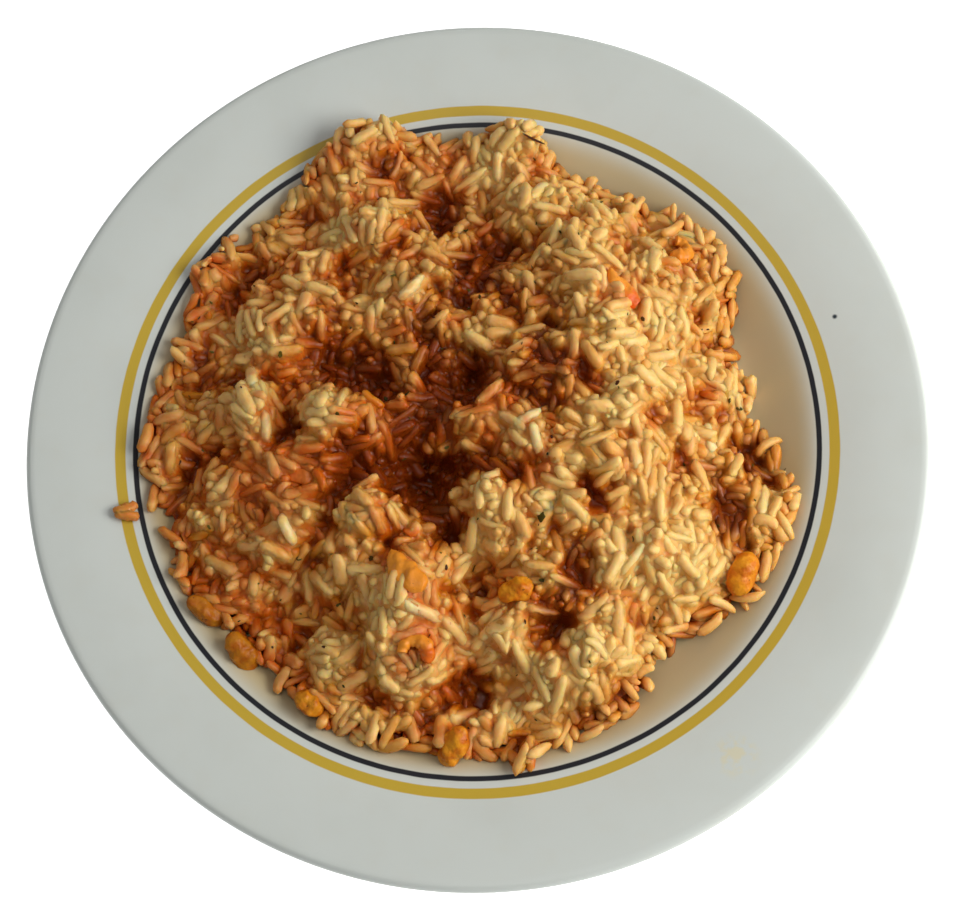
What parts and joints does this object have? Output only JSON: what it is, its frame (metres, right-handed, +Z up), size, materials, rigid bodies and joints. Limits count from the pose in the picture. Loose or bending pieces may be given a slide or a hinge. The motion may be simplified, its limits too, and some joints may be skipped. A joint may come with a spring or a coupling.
{
  "type": "plate of seafood risotto",
  "caption": "Round striped dinner plate filled with a heap of seafood risotto: sauced long-grain rice with bits of prawn, mussel, clam and squid and flecks of herb.",
  "frame": {"origin": "centre of the plate on the table plane that the foot ring rests on", "axes": "+Z up through the middle of the plate, +Y to the far side of the plate as pictured, +X to the right of it"},
  "size_m": [0.24, 0.24, 0.0401],
  "materials": {
    "glaze": "glossy off-white glaze with a thin navy ring and a wider yellow ring painted round the shoulder of the well",
    "rice": "moist cooked rice coated in a thin orange-brown seafood sauce",
    "prawn": "moist cooked prawn, orange and pink",
    "shellfish": "moist cooked mussel and clam meat, orange-yellow",
    "squid": "moist cooked squid in orange sauce"
  },
  "bodies": {
    "root": {"plate": "glaze", "rice": "rice", "rice_scrap": "rice", "prawn_curl_back": "prawn", "prawn_curl_front": "prawn", "prawn_tail_ridge": "prawn", "prawn_tail_middle": "prawn", "mussel_right": "shellfish", "mussel_front": "shellfish", "mussel_middle": "shellfish", "mussel_left": "shellfish", "clam_left": "shellfish", "clam_front": "shellfish", "squid_strip": "squid"}
  },
  "joints": []
}
